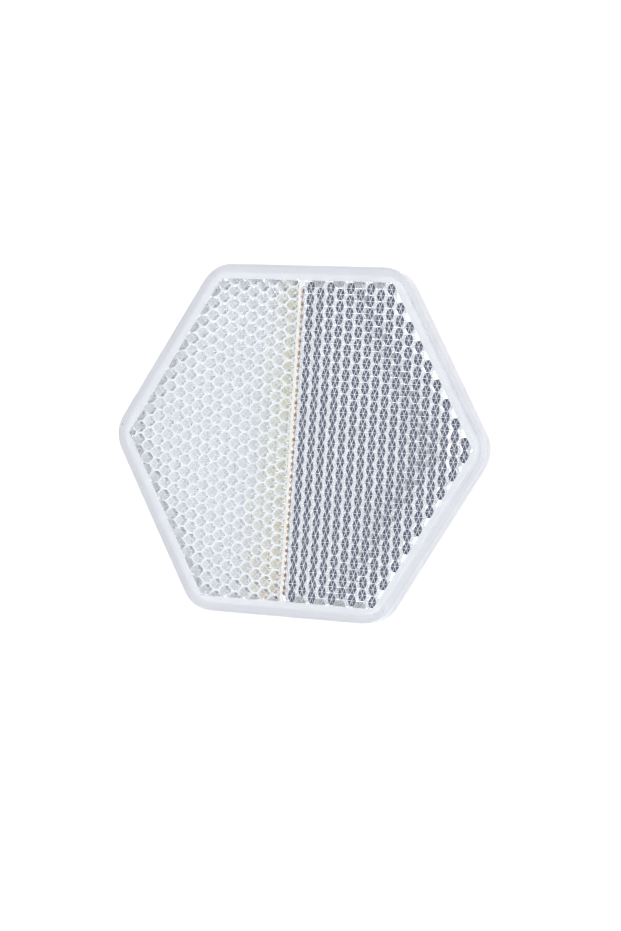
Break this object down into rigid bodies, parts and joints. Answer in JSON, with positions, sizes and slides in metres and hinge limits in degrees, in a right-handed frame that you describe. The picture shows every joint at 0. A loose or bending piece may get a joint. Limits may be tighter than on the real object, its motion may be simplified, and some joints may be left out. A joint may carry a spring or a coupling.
{
  "type": "adhesive reflector",
  "caption": "Flat hexagonal stick-on retroreflector with a clear cube-corner lens, a white back plate and a foam adhesive pad.",
  "frame": {"origin": "centre of the release liner's outer face, which lies on the surface", "axes": "+Z out of the lens's front face, +X across the corners and the seam, towards the wider prism field, +Y along the seam, towards a flat"},
  "size_m": [0.0674, 0.06, 0.0051],
  "materials": {
    "lens": "clear moulded acrylic, polished front, cube-corner prisms on the back",
    "back_plate": "white moulded plastic, satin",
    "adhesive_pad": "closed-cell foam tape with adhesive on both faces",
    "release_liner": "siliconised paper, slightly glossy"
  },
  "bodies": {
    "root": {"lens": "lens", "back_plate": "back_plate", "adhesive_pad": "adhesive_pad", "release_liner": "release_liner"}
  },
  "joints": []
}
